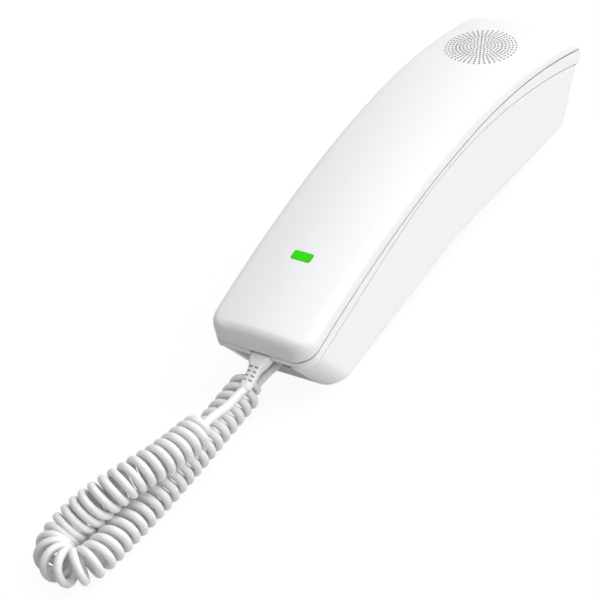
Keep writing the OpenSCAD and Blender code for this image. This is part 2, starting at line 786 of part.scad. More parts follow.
module line_jack() {
    z0 = back_z(line_jack_y) + cover_t + 0.6;
    color([0.12, 0.12, 0.13]) translate([0, line_jack_y, 0]) difference() {
        block(13, 16, z0, z0 + 13);
        block(9.8, 6.8, z0 - 1, z0 + 11);
    }
}

// ---- Cord ----

module cord_boot() {
    y = -phone_l / 2;
    color([0.95, 0.95, 0.95]) difference() {
        union() {
            translate([boot_x, 0, 0]) side([[y + boot_l, seam_z - 5.6], [y + boot_l, seam_z + boot_heel_h],
                [y + shell_wall + 0.5, seam_z + boot_heel_h], [y + shell_wall + 0.5, seam_z - 0.5],
                [y - 0.4, seam_z - 0.5], [y - 1.4, seam_z - 1.7], [y - 4.1, seam_z - 2.8],
                [y - 4.1, seam_z - 5.8], [y, seam_z - 5.6]], boot_w);
            boot_neck_frame() soft_block(boot_neck_w, boot_neck_h, 2, -2, boot_neck_l);
        }
        boot_neck_frame() for (i = [0:3], x = [-1.15, 1.15])
            translate([x, boot_neck_h / 2, 1.6 + i * 2.1]) cube([1.7, 2.4, 0.9], center = true);
    }
}

// Route of the cord's middle line, in millimetres; heights keep the cord on the resting plane
lead_route = [[0.9, -121.3, 16.1], [1.2, -127, 17.2], [2, -134, 18.4], [2.2, -140.5, 20.3], [2.6, -147, 22.2],
    [2.9, -150.5, 22.7]];
coil_route = [[3, -151, 22.8], [1.9, -160, 23.2], [0.6, -168, 23.7], [-1.6, -177, 24.2], [-5, -185.5, 24.3],
    [-9.6, -192.5, 23.3], [-15, -197.8, 20.7], [-20.4, -202, 16.3], [-24.6, -207, 11.9], [-26.8, -213, 9],
    [-26.6, -219, 7.8], [-23.9, -224.8, 7.8], [-19.2, -228.9, 7.8], [-13.4, -229.6, 7.8], [-8.4, -226.2, 7.8],
    [-5.9, -220.4, 7.8], [-5.2, -212, 7.8], [-4.8, -200, 7.8], [-4.4, -185, 7.8], [-4.2, -170, 7.8],
    [-4.3, -150, 7.8], [-4.7, -130, 7.8], [-4.9, -110, 7.8]];
tail_route = [[-2.8, -109.6, 7.8], [-2.2, -107, 8.3], [-1.2, -103, 9.1], [-0.3, -99, 9.4], [0, -95.6, 9.4]];

function route_tangent(r, i) =
    let (v = r[min(i + 1, len(r) - 1)] - r[max(i - 1, 0)]) v / norm(v);

// A ring of a tube round point i of a route: across lies level, up completes the frame
function route_ring(r, i, radius, sides) =
    let (t = route_tangent(r, i), across = cross(t, [0, 0, 1]), u = across / norm(across), w = cross(u, t))
    [for (k = [0:sides - 1]) r[i] + radius * (u * cos(360 * k / sides) + w * sin(360 * k / sides))];

// A smooth point between route points, by a Catmull-Rom curve
function between(r, i, f) =
    let (a = r[max(i - 1, 0)], b = r[i], c = r[i + 1], d = r[min(i + 2, len(r) - 1)])
    0.5 * (2 * b + (c - a) * f + (2 * a - 5 * b + 4 * c - d) * f * f + (3 * b - 3 * c + d - a) * f * f * f);
function smooth(r, count) =
    concat([for (i = [0:len(r) - 2], k = [0:count - 1]) between(r, i, k / count)], [r[len(r) - 1]]);

module route_tube(route, diameter, sides, count) {
    r = smooth(route, count);
    tube_mesh([for (i = [0:len(r) - 1]) route_ring(r, i, diameter / 2, sides)]);
}

module handset_cord_lead() {
    color([0.95, 0.95, 0.95]) route_tube(lead_route, cord_d, 8, 1);
}

module handset_curly_cord() {
    color([0.95, 0.95, 0.95]) route_tube(coil_route, coil_d, 12, 2);
}

module handset_cord_tail() {
    color([0.95, 0.95, 0.95]) route_tube(tail_route, cord_d, 8, 1);
}

module cord_plug() {
    color([0.8, 0.82, 0.85]) translate([-plug_w / 2, jack_y - plug_tail, jack_z - plug_h / 2])
        cube([plug_w, plug_l, plug_h]);
}

handset_outer_shell();
handset_inner_shell();
lamp_lens();
message_lamp_led();
ringer_speaker_frame();
ringer_speaker_magnet();
ringer_speaker_cone();
ringer_cloth();
earpiece_receiver();
earpiece_gasket();
microphone();
microphone_boot();
handset_circuit_board();
keypad_mat();
handset_screws();
key(0);  // key_1
key(1);  // key_2
key(2);  // key_3
key(3);  // key_4
key(4);  // key_5
key(5);  // key_6
key(6);  // key_7
key(7);  // key_8
key(8);  // key_9
key(9);  // key_star
key(10);  // key_0
key(11);  // key_hash
key(12);  // key_redial
key(13);  // key_mute
key(14);  // key_volume_down
key(15);  // key_volume_up
base_shell();
base_back_cover();
base_circuit_board();
board_screws();
cover_screws();
rubber_feet();
hook_plunger();
hook_spring();
hook_switch();
hanger_tab();
handset_cord_jack();
line_jack();
cord_boot();
handset_cord_lead();
handset_curly_cord();
handset_cord_tail();
cord_plug();
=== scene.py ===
# %% [markdown]
# # Slimline wall phone
# A slim phone is two arched plastic mouldings: a one-piece handset lying on a shallow wall base.
# The exact model of every part is packed already, so this lesson only adds what a camera sees:
# smooth skins, a wound cord, perforations, printed digits, finishes and soft studio light.

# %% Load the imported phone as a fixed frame
import json
import math

import bmesh
import bpy
import numpy as np
from mathutils import Matrix, Vector


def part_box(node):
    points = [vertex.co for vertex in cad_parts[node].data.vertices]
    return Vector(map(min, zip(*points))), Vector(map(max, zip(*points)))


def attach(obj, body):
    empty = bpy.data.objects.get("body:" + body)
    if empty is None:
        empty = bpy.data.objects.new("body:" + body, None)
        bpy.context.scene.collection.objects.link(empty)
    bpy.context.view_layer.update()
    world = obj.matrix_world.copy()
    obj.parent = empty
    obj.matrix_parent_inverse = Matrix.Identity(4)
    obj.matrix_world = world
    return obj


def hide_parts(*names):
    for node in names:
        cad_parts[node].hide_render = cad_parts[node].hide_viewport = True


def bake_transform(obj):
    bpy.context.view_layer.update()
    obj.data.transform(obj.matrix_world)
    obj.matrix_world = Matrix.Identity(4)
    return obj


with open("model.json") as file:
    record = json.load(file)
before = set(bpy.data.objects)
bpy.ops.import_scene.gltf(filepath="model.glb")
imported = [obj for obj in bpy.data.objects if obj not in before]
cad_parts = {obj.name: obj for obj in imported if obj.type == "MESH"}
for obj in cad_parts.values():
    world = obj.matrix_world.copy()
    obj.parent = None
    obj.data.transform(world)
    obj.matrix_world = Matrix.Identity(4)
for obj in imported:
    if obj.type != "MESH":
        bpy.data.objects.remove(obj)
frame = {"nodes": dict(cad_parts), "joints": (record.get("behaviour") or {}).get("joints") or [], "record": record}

nodes, record = frame["nodes"], frame["record"]
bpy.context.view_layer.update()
MM = 0.001

# %% [markdown]
# ## Camera
# Product pictures of small things are taken from far off with a long lens, so that the two long
# edges stay almost parallel. The camera stands 1.9 m away, over the phone's lower right end,
# looking down at about 40 degrees. A 270 mm lens fills the frame with the phone and its cord.

# %% Camera
camera = bpy.data.objects.new("camera", bpy.data.cameras.new("camera"))
bpy.context.scene.collection.objects.link(camera)
camera.data.lens, camera.data.sensor_width = 270, 36
camera.data.clip_start, camera.data.clip_end = 0.1, 20
camera.location = Vector((961.287, -1099.290, 1187.904)) * MM
camera.rotation_euler = [math.radians(a) for a in (49.44802, 11.26177, 33.71246)]
bpy.context.scene.camera = camera
print("camera distance in m:", round(camera.location.length, 3))

# %% [markdown]
# ## Curly cord
# A curly cord is straight wire wound on a rod, heated and cooled, so that it keeps its coils. It
# leaves the handset through the strain relief as a short straight lead, winds along a route that
# climbs over itself and turns back, and ends as a straight tail in the base's jack.
# The route is a smooth line through the model's own points. The wire runs round that line at the
# coil's radius, which is almost nothing at both ends, and a frame carried along the line without
# twisting keeps the turns even. A curve object with a bevel would do too, but a mesh tube keeps
# its rings in order, so a UV map can run along the wire.

# %% The cord's route, in millimetres
lead_route = [(0.9, -121.3, 16.1), (1.2, -127, 17.2), (2, -134, 18.4),
              (2.2, -140.5, 20.3), (2.6, -147, 22.2), (2.9, -150.5, 22.7)]
coil_route = [(3, -151, 22.8), (1.9, -160, 23.2), (0.6, -168, 23.7), (-1.6, -177, 24.2),
              (-5, -185.5, 24.3), (-8.8, -193.2, 23.2), (-13, -199.4, 20.9), (-17.4, -204.4, 17.2),
              (-21.4, -209.4, 13.4), (-24.2, -214.4, 10.4), (-24.6, -219.6, 9), (-22.4, -224.4, 8.8),
              (-18.4, -227.2, 8.8), (-13.6, -227.8, 8.6), (-9.4, -225.2, 8.3), (-6.8, -220, 8),
              (-5.8, -212, 7.8), (-5.2, -200, 7.8), (-4.4, -185, 7.8), (-4.2, -170, 7.8),
              (-4.3, -150, 7.8), (-4.7, -130, 7.8), (-4.9, -110, 7.8)]
tail_route = [(-2.8, -109.6, 7.8), (-2.2, -107, 8.3), (-1.2, -103, 9.1), (-0.3, -99, 9.4),
              (0, -95.6, 9.4)]
turning_point = (-24.6, -219.6, 9)
wire_d = 3.6
coil_radius = 5.9
winds = 1  # 1 or -1: the way the wire winds
ring_gap = 1.3  # between the rings of the wire's tube
wire_sides = 12
hold_length = 44  # how far along the coil the follow weight fades out
print("points on the route:", len(lead_route + coil_route + tail_route))

# %% [markdown]
# A Catmull-Rom curve goes through every point it is given, so the route stays where it was drawn.
# The frames give two directions across the line at each point. Each is the last one turned as
# little as the line allows, so the coil gets no twist of its own.


# %% Smooth lines and the frames along them
def smooth_line(points, step):
    """Points a step apart on a Catmull-Rom curve through the given ones."""
    p = np.array(points, float)
    p = np.vstack([2 * p[0] - p[1], p, 2 * p[-1] - p[-2]])
    dense = []
    for a, b, c, d in zip(p[:-3], p[1:-2], p[2:-1], p[3:]):
        t = np.linspace(0, 1, 40, endpoint=False)[:, None]
        dense.append(0.5 * (2 * b + (c - a) * t + (2 * a - 5 * b + 4 * c - d) * t**2
                            + (3 * b - a - 3 * c + d) * t**3))
    dense = np.vstack(dense + [p[-2]])
    return spaced(dense, step)


def lengths(points):
    """How far along the line each of its points is."""
    return np.concatenate([[0], np.cumsum(np.linalg.norm(np.diff(points, axis=0), axis=1))])


def spaced(points, step):
    """The same line with its points evenly about a step apart."""
    s = lengths(points)
    want = np.linspace(0, s[-1], max(2, int(round(s[-1] / step)) + 1))
    return np.stack([np.interp(want, s, points[:, k]) for k in range(3)], 1)


def carried_frames(points):
    """Tangents and an across direction that turns as little as it can along the line."""
    t = np.gradient(points, axis=0)
    t /= np.linalg.norm(t, axis=1)[:, None]
    u = np.cross(t[0], (0, 0, 1.0))
    across = []
    for k in range(len(points)):
        u = u - t[k] * (u @ t[k])
        u /= np.linalg.norm(u)
        across.append(u.copy())
    across = np.array(across)
    return t, across, np.cross(t, across)


# %% [markdown]
# The wire is the route plus an arm that swings round it, one turn for each pitch. The arm grows
# from almost nothing where the coil starts and shrinks again where it ends. The rings of the tube are
# then placed evenly along the wire itself, which is much longer than the route.

# %% Wind the wire round the route
route = smooth_line(lead_route + coil_route + tail_route, 0.25)
along = lengths(route)
coil_from = along[np.argmin(np.linalg.norm(route - coil_route[0], axis=1))]
coil_to = along[np.argmin(np.linalg.norm(route - coil_route[-1], axis=1))]
_, side_u, side_w = carried_frames(route)
u_turn = along[np.argmin(np.linalg.norm(route - np.array(turning_point), axis=1))]
# a turn takes 4.5 mm of the route until it turns back, and a little more after that
pitch = np.interp(along, [coil_from, u_turn - 25, u_turn, u_turn + 30, coil_to], [4.5, 4.5, 4.5, 5.1, 5.3])
turns = np.concatenate([[0], np.cumsum(np.diff(along) / pitch[1:])])
turns -= np.interp(coil_from, along, turns)
first_angle = math.radians(120)
angle = winds * 2 * math.pi * turns + first_angle
grow = np.clip(np.minimum(along - coil_from, coil_to - along) / 5 + 0.15, 0, 1)
# the coil is up to 1.2 mm wider where the route turns back
wider = np.interp(along, [u_turn - 40, u_turn - 16, u_turn + 6, u_turn + 30], [0, 1.2, 0.9, 0])
reach = (coil_radius + wider) * grow**2 * (3 - 2 * grow)
wire = route + reach[:, None] * (side_u * np.cos(angle)[:, None] + side_w * np.sin(angle)[:, None])
wire_s = lengths(wire)
count = int(wire_s[-1] / ring_gap)
want = np.linspace(0, wire_s[-1], count)
wire_line = np.stack([np.interp(want, wire_s, wire[:, k]) for k in range(3)], 1)
wire_along = np.interp(want, wire_s, along)
print("wire length in mm:", round(wire_s[-1]), "rings:", count)
print("turns:", round(np.interp(coil_to, along, turns), 1))

# %% [markdown]
# The tube has twelve sides. Its ends are closed with a fan, and a UV map runs along the wire, so
# the finish can follow it. The first stretch leaves the handset and the rest lies on the table.
# A weight for how far each ring would follow the handset is worked out by distance along the coil,
# not by a straight line, but it is not applied to the mesh.

# %% Make the cord
def new_object(name, mesh):
    obj = bpy.data.objects.new(name, mesh)
    bpy.context.scene.collection.objects.link(obj)
    return obj


def ring_faces(rings, sides):
    """The faces between closed rings of points that follow one another."""
    return [(a + k, a + (k + 1) % sides, a + sides + (k + 1) % sides, a + sides + k)
            for a in range(0, (rings - 1) * sides, sides) for k in range(sides)]


def tube(name, line, radius, sides):
    """A closed tube round a line; points in millimetres, the mesh in metres."""
    _, u, w = carried_frames(line)
    turn = np.linspace(0, 2 * math.pi, sides, endpoint=False)
    radius = np.broadcast_to(np.asarray(radius, float), (len(line),))
    out = u[:, None] * np.cos(turn)[None, :, None] + w[:, None] * np.sin(turn)[None, :, None]
    rings = line[:, None] + radius[:, None, None] * out
    verts = [tuple(v * MM) for v in rings.reshape(-1, 3)] + [tuple(line[0] * MM), tuple(line[-1] * MM)]
    n = len(line)
    faces = ring_faces(n, sides)
    faces += [(n * sides, (k + 1) % sides, k) for k in range(sides)]
    faces += [(n * sides + 1, (n - 1) * sides + k, (n - 1) * sides + (k + 1) % sides) for k in range(sides)]
    mesh = bpy.data.meshes.new(name)
    mesh.from_pydata(verts, [], faces)
    mesh.shade_smooth()
    uv = mesh.uv_layers.new(name="along")
    s = lengths(line) * MM
    for f in mesh.polygons:
        for li, vi in zip(f.loop_indices, f.vertices):
            i, k = divmod(vi, sides) if vi < n * sides else ((0, 0) if vi == n * sides else (n - 1, 0))
            uv.data[li].uv = (s[i], k / sides)
    return new_object(name, mesh)


lead_r = 1.85  # the straight lead is a little thicker than the coil
wire_radius = np.interp(wire_along, [0, 24, 34], [lead_r, lead_r, wire_d / 2])
cord = tube("handset_cord", wire_line, wire_radius, wire_sides)
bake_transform(cord)
follow = 1 - np.clip((wire_along - coil_from) / hold_length, 0, 1)
follow = follow * follow * (3 - 2 * follow)
follow = np.concatenate([np.repeat(follow, wire_sides), [1, 0]])
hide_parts("handset_cord_lead", "handset_curly_cord", "handset_cord_tail")
print("cord faces:", len(cord.data.polygons))

# %% [markdown]
# ## Node groups for the finishes
# Effects that several finishes share are node groups with named inputs. Fine grain is what a
# mould's blasted steel leaves on plastic. Handling is the slow change of colour and gloss over a
# used surface. Soft edges rounds the light on an edge as a mould's small radius does, and wear
# marks those edges, where a hand polishes them.

# %% Group helpers
def make_group(name, inputs, outputs):
    g = bpy.data.node_groups.new(name, "ShaderNodeTree")
    for n, kind, value in inputs:
        s = g.interface.new_socket(name=n, in_out="INPUT", socket_type=kind)
        s.default_value = value
    for n, kind in outputs:
        g.interface.new_socket(name=n, in_out="OUTPUT", socket_type=kind)
    return g, g.nodes.new("NodeGroupInput"), g.nodes.new("NodeGroupOutput")


def node(tree, kind, links=(), **values):
    """A node with its inputs by name: a socket makes a link and anything else a value."""
    n = tree.nodes.new(kind)
    for k, v in values.items():
        if hasattr(n, k):
            setattr(n, k, v)
    for k, v in dict(links).items():
        if isinstance(v, bpy.types.NodeSocket):
            tree.links.new(v, n.inputs[k])
        else:
            n.inputs[k].default_value = v
    return n


def math_in(tree):
    """A short way to write the math nodes of one tree."""
    def calc(op, a, b=None, clamp=False):
        sockets = {0: a} if b is None else {0: a, 1: b}
        return node(tree, "ShaderNodeMath", sockets, operation=op, use_clamp=clamp).outputs[0]
    return calc


def noise(tree, where, scale, detail, roughness=0.5):
    settings = {"Vector": where, "Scale": scale, "Detail": detail, "Roughness": roughness}
    return node(tree, "ShaderNodeTexNoise", settings).outputs["Fac"]


# %% [markdown]
# A fine noise gives the grain its height, and a Bump node in the finish turns it into shading.
# Real relief this small would need millions of faces.

# %% Fine grain
grain, gi, go = make_group("moulded_grain",
                           [("Scale", "NodeSocketFloat", 900.0), ("Depth", "NodeSocketFloat", 1.0)],
                           [("Height", "NodeSocketFloat")])
where = node(grain, "ShaderNodeTexCoord").outputs["Object"]
fine = noise(grain, where, gi.outputs["Scale"], 2.0, 0.6)
grain.links.new(math_in(grain)("MULTIPLY", fine, gi.outputs["Depth"]), go.inputs["Height"])

# %% [markdown]
# One slow noise darkens the colour a little. A second, finer one changes the gloss, so that the
# two do not follow each other.

# %% Handling: a slow change of colour and gloss
handling, hi, ho = make_group("handling",
                              [("Color", "NodeSocketColor", (0.8, 0.8, 0.8, 1)),
                               ("Tone", "NodeSocketFloat", 0.03), ("Gloss", "NodeSocketFloat", 0.35),
                               ("Gloss Change", "NodeSocketFloat", 0.08),
                               ("Scale", "NodeSocketFloat", 22.0)],
                              [("Color", "NodeSocketColor"), ("Roughness", "NodeSocketFloat")])
calc = math_in(handling)
where = node(handling, "ShaderNodeTexCoord").outputs["Object"]
slow = noise(handling, where, hi.outputs["Scale"], 3.0, 0.55)
level = calc("SUBTRACT", 1.0, calc("MULTIPLY", slow, hi.outputs["Tone"]))
tinted = node(handling, "ShaderNodeVectorMath", {0: hi.outputs["Color"]}, operation="SCALE")
handling.links.new(level, tinted.inputs["Scale"])
handling.links.new(tinted.outputs[0], ho.inputs["Color"])
swirl = noise(handling, where, 65.0, 4.0, 0.65)
rough = calc("ADD", hi.outputs["Gloss"], calc("MULTIPLY", swirl, hi.outputs["Gloss Change"]))
handling.links.new(rough, ho.inputs["Roughness"])

# %% [markdown]
# The Bevel node bends the normal near an edge without new faces. Where it bends most, and a fine
# noise allows it, the surface counts as worn, and a finish takes that away from its roughness.

# %% Soft edges and their wear
edges, ei, eo = make_group("soft_edges", [("Wear", "NodeSocketFloat", 0.3)],
                           [("Normal", "NodeSocketVector"), ("Worn", "NodeSocketFloat")])
calc = math_in(edges)
soft = node(edges, "ShaderNodeBevel", {"Radius": 0.0005}, samples=4)
flat = node(edges, "ShaderNodeNewGeometry").outputs["Normal"]
turned = node(edges, "ShaderNodeVectorMath", {0: soft.outputs[0], 1: flat}, operation="DOT_PRODUCT")
edge = node(edges, "ShaderNodeMapRange", {"Value": turned.outputs["Value"], "From Min": 0.99,
                                          "From Max": 0.8, "To Min": 0.0, "To Max": 1.0})
patch = noise(edges, node(edges, "ShaderNodeTexCoord").outputs["Object"], 300.0, 2.0)
worn = calc("MULTIPLY", calc("MULTIPLY", edge.outputs[0], patch), ei.outputs["Wear"], clamp=True)
edges.links.new(soft.outputs[0], eo.inputs["Normal"])
edges.links.new(worn, eo.inputs["Worn"])
print("node groups:", sorted(g.name for g in bpy.data.node_groups))

# %% [markdown]
# ## Finishes
# Every finish is one Principled shader fed by those groups. Constant values, such as metallic or
# transmission, are set on the shader itself.

# %% One maker for the plain finishes
finishes = {}


def finish_of(name, color, gloss, tone=0.03, change=0.08, grain_size=900, depth=0.00002, wear=0.3,
              patch_scale=22, soft_edge=True, **shader):
    """A plastic, rubber or metal. Extra names go straight to the shader's own inputs."""
    mat = bpy.data.materials.new(name)
    mat.use_nodes = True
    t = mat.node_tree
    bsdf = t.nodes["Principled BSDF"]
    used = node(t, "ShaderNodeGroup", node_tree=handling)
    for k, v in {"Color": (*color, 1), "Tone": tone, "Gloss": gloss, "Gloss Change": change,
                 "Scale": patch_scale}.items():
        used.inputs[k].default_value = v
    tooth = node(t, "ShaderNodeGroup", node_tree=grain)
    tooth.inputs["Scale"].default_value = grain_size
    bump = node(t, "ShaderNodeBump", {"Strength": 0.5, "Distance": depth,
                                      "Height": tooth.outputs["Height"]})
    t.links.new(bump.outputs[0], bsdf.inputs["Normal"])
    t.links.new(used.outputs["Color"], bsdf.inputs["Base Color"])
    rough_from = used.outputs["Roughness"]
    if soft_edge:
        rim = node(t, "ShaderNodeGroup", node_tree=edges)
        rim.inputs["Wear"].default_value = wear
        t.links.new(rim.outputs["Normal"], bump.inputs["Normal"])
        rough_from = math_in(t)("SUBTRACT", rough_from, rim.outputs["Worn"], clamp=True)
    t.links.new(rough_from, bsdf.inputs["Roughness"])
    for k, v in shader.items():
        bsdf.inputs[k.replace("_", " ")].default_value = v
    finishes[name] = mat
    return mat


finish_of("white", (0.85, 0.852, 0.86), 0.34, tone=0.02, depth=0.00001)
# painted shade: this dark grey stands in for the shadow in the parting line's narrow gap
finish_of("painted_groove_shade", (0.20, 0.20, 0.205), 0.6, tone=0.1, soft_edge=False)
finish_of("key_white", (0.80, 0.80, 0.81), 0.4, tone=0.03)
finish_of("cord_white", (0.80, 0.80, 0.802), 0.42, tone=0.03, grain_size=1400, soft_edge=False)
finish_of("boot_white", (0.84, 0.84, 0.842), 0.45, tone=0.03)
finish_of("black_plastic", (0.02, 0.02, 0.022), 0.42, tone=0.3)
finish_of("dark_rubber", (0.028, 0.028, 0.03), 0.72, tone=0.35, change=0.15, grain_size=500, depth=0.00008,
          wear=0.1)
finish_of("mat_grey", (0.42, 0.44, 0.46), 0.55, tone=0.1)
finish_of("board_green", (0.015, 0.11, 0.035), 0.32, tone=0.35, change=0.1, grain_size=260, depth=0.00006,
          patch_scale=120)
finish_of("led_white", (0.7, 0.9, 0.62), 0.2)
finish_of("steel", (0.55, 0.55, 0.57), 0.3, tone=0.12, change=0.2, grain_size=700, depth=0.00004,
          Metallic=1.0)
finish_of("magnet_steel", (0.4, 0.4, 0.42), 0.34, tone=0.15, change=0.2, grain_size=500, depth=0.00005,
          Metallic=1.0)
finish_of("cone_black", (0.018, 0.018, 0.018), 0.6, tone=0.2)
finish_of("plug_clear", (0.8, 0.83, 0.85), 0.12, tone=0.05, Transmission_Weight=0.6)
print("finishes:", sorted(finishes))

# %% [markdown]
# The speaker's cloth is woven, so its height comes from two crossed waves. The message lamp's
# window is tinted acrylic with a lamp behind it, so it glows, more in its middle than at its rim.

# %% Cloth and the lit lamp
cloth = finish_of("cloth_black", (0.02, 0.02, 0.021), 0.85, tone=0.3, soft_edge=False)
t = cloth.node_tree
where = node(t, "ShaderNodeTexCoord").outputs["Object"]
warp = node(t, "ShaderNodeTexWave", {"Vector": where, "Scale": 400.0}, bands_direction="X")
weft = node(t, "ShaderNodeTexWave", {"Vector": where, "Scale": 400.0}, bands_direction="Y")
weave = node(t, "ShaderNodeMath", {0: warp.outputs["Fac"], 1: weft.outputs["Fac"]}, operation="MAXIMUM")
bump = next(n for n in t.nodes if n.type == "BUMP")
t.links.new(weave.outputs[0], bump.inputs["Height"])
bump.inputs["Distance"].default_value = 0.0002

lamp = finish_of("lens_green", (0.01, 0.25, 0.0), 0.3, tone=0.1, Specular_IOR_Level=0.1)
t = lamp.node_tree
bsdf = t.nodes["Principled BSDF"]
lens_low, lens_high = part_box("lamp_lens")
middle = (lens_low + lens_high) / 2
glow_w, glow_l = 0.0062, 0.0036
placed = node(t, "ShaderNodeMapping", {"Vector": node(t, "ShaderNodeTexCoord").outputs["Object"],
                                       "Location": [-middle.x / glow_w, -middle.y / glow_l, 0],
                                       "Scale": (1 / glow_w, 1 / glow_l, 0.0)})
spread = node(t, "ShaderNodeTexGradient", {"Vector": placed.outputs[0]}, gradient_type="SPHERICAL")
glow = node(t, "ShaderNodeValToRGB", {"Fac": spread.outputs["Fac"]})
glow.color_ramp.elements[0].color = (0.04, 0.42, 0.004, 1)
glow.color_ramp.elements[1].color = (0.02, 0.66, 0.0, 1)
glow.color_ramp.elements[1].position = 0.55
t.links.new(glow.outputs["Color"], bsdf.inputs["Emission Color"])
bsdf.inputs["Emission Strength"].default_value = 0.75

# %% [markdown]
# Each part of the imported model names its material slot, and the finishes have the same names, so
# one short loop dresses them all. Only the slot is set: the meshes stay as they are.

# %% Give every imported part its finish
cord.data.materials.append(finishes["cord_white"])
for part in record["subparts"]:
    for s in nodes[part["node"]].material_slots:
        s.link, s.material = "OBJECT", finishes[part["material_slot"]]
print("parts with a finish:", len(record["subparts"]))

# %% [markdown]
# ## Handset cover
# The handset's upper moulding is the phone's face: a long crowned shell that bends down towards
# the earpiece, with a rounded nose, rounded long edges and tight corners at the ear end. It could
# be a subdivided box, but its shape follows rules, three arcs along and one bow across, so it is
# lofted: rings across the shell, close together where it turns fast. The wall is 2.2 mm thick.
# The lower edge has a small chamfer with painted shade on it, a dark grey that stands in for the shadow in the
# parting line's gap, so the line reads as a grey groove.

# %% The parting line: three arcs that flow into each other
arch = [(76, 577), (60, 402), (82.4, 218)]
arch_len = sum(l for l, _ in arch)
seam_z, seam_slope = 23.8, math.radians(14.9)
handset_lo, handset_hi = (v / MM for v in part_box("handset_outer_shell"))
phone_l, half_w = handset_hi.y - handset_lo.y, handset_hi.x


def seam_at(s):
    """(y, z, heading) on the parting line, s millimetres from the bottom end."""
    y, z, a = -phone_l / 2, seam_z, seam_slope
    for i, (length, radius) in enumerate(arch):
        d = s if i == 2 or s <= length else length
        b = a - d / radius
        y, z, a = y + radius * (math.sin(a) - math.sin(b)), z + radius * (math.cos(b) - math.cos(a)), b
        s -= d
        if s == 0:
            break
    return y, z, a


def lifted(pose, n):
    return pose[0] - n * math.sin(pose[2]), pose[1] + n * math.cos(pose[2])


def seam_reach(y, n):
    """How far along the line its copy n above reaches a given y."""
    s = arch_len / 2
    for _ in range(9):  # Newton's method settles long before that
        pose = seam_at(s)
        s += (y - lifted(pose, n)[0]) / math.cos(pose[2])
    return s


# %% [markdown]
# Seen from the side, the crown keeps one height above the parting line, a small arc makes the
# nose and a larger one the brow. Seen from the front, each ring is a flat bow with an arc at
# either side. In plan the corners are rounded. The inner skin follows the same rules, set in by
# the wall.

# %% Profile along the cover
crown_h, crown_r, wall, chamfer_h = 9.8, 120, 2.2, 0.45
edge_r, ear_edge_r, corner_r, ear_corner_r = 4.6, 7.4, 8.5, 3.4
nose_r, brow_r, brow_turn = 5.0, 22, math.radians(15)
nose_steps, crown_steps, brow_steps = 22, 150, 30


def cover_profile(inset):
    """(y, z) points along the middle of the crown, from the nose to the ear end."""
    n, nr, br = crown_h - inset, nose_r - inset, brow_r - inset
    y0, y1 = -phone_l / 2 + inset, phone_l / 2 - inset
    s0, s1 = seam_reach(y0 + nr, n - nr), seam_reach(y1 - br * math.cos(brow_turn), n - br)
    nose, brow = lifted(seam_at(s0), n - nr), lifted(seam_at(s1), n - br)
    top0, top1 = math.pi / 2 + seam_at(s0)[2], math.pi / 2 + seam_at(s1)[2]
    out = [(nose[0] + nr * math.cos(a), nose[1] + nr * math.sin(a))
           for a in [math.pi - (math.pi - top0) * (i / nose_steps) ** 1.6
                     for i in range(nose_steps + 1)]]
    out += [lifted(seam_at(s0 + (s1 - s0) * i / crown_steps), n) for i in range(1, crown_steps)]
    out += [(brow[0] + br * math.cos(a), brow[1] + br * math.sin(a))
            for a in [brow_turn + (top1 - brow_turn) * (1 - i / brow_steps) ** 1.8
                      for i in range(brow_steps + 1)]]
    return out


print("profile points:", len(cover_profile(0)))

# %% [markdown]
# A ring starts at the lower edge on the right, with the chamfer, goes up the side arc, over the
# bow and down to the other edge. The bow is one wide arc, which gets flatter where the crown
# comes down to the parting line, and the side arcs grow towards the ear end.

# %% Rings across it
edge_steps, bow_steps = 12, 30


def plan_half(y, inset):
    """Half the cover's width at one y, with its corners rounded in plan."""
    r0, r1 = corner_r - inset, max(ear_corner_r - inset, 0.3)
    d0 = max(0, r0 - (y + phone_l / 2 - inset))
    d1 = max(0, r1 - (phone_l / 2 - inset - y))
    cut = lambda r, d: r - math.sqrt(max(0, r * r - d * d)) if d > 0 else 0
    return half_w - inset - cut(r0, d0) - cut(r1, d1)


def cover_ring(y, z, inset, chamfer):
    """The ring that passes through (y, z) on the crown."""
    seam = lifted(seam_at(seam_reach(y, 0)), 0)[1]
    half = plan_half(y, inset)
    # the bow takes at most 0.3 of the height, and a side arc at most 0.85 of what is left
    bow = max(crown_r, half_w**2 / (0.6 * (z + inset - seam))) - inset
    towards_ear = max(0, 2 * y / phone_l)
    room = (z - seam - half * half / (2 * bow)) * 0.85
    r = min(edge_r + (ear_edge_r - edge_r) * towards_ear**2 - inset, room)
    centre, reach = z - bow, half - r
    lift = centre + math.sqrt((bow - r) ** 2 - reach**2)
    a = math.atan2(lift - centre, reach)
    right = [(half - chamfer, seam), (half, seam + chamfer)] + [
        (reach + r * math.cos(a * i / edge_steps), lift + r * math.sin(a * i / edge_steps))
        for i in range(edge_steps + 1)]
    across = [a + (math.pi - 2 * a) * i / bow_steps for i in range(1, bow_steps)]
    crown = [(bow * math.cos(b), centre + bow * math.sin(b)) for b in across]
    return [(x, y, h) for x, h in right + crown + [(-x, h) for x, h in reversed(right)]]


print("points in a ring:", len(cover_ring(0, crown_h + seam_at(arch_len / 2)[1], 0, chamfer_h)))

# %% [markdown]
# A lofted mesh is flat-shaded. Smooth shading hides its faces, and marking the edges that turn
# sharply keeps real corners crisp.


# %% Smooth faces and sharp edges
def soften(obj, sharp_deg=32):
    """Smooth faces, with the edges sharper than an angle kept sharp."""
    bm = bmesh.new()
    bm.from_mesh(obj.data)
    bmesh.ops.remove_doubles(bm, verts=bm.verts, dist=1e-7)
    bm.normal_update()
    for f in bm.faces:
        f.smooth = True
    for e in bm.edges:
        e.smooth = len(e.link_faces) == 2 and e.calc_face_angle(0) < math.radians(sharp_deg)
    bm.to_mesh(obj.data)
    bm.free()


# %% [markdown]
# The outer and the inner skin are each a stack of rings with a small cap at either end. A strip
# of faces along the parting line joins them, so the wall is one closed solid, which a Boolean
# can cut cleanly. The count of open edges must be nought.


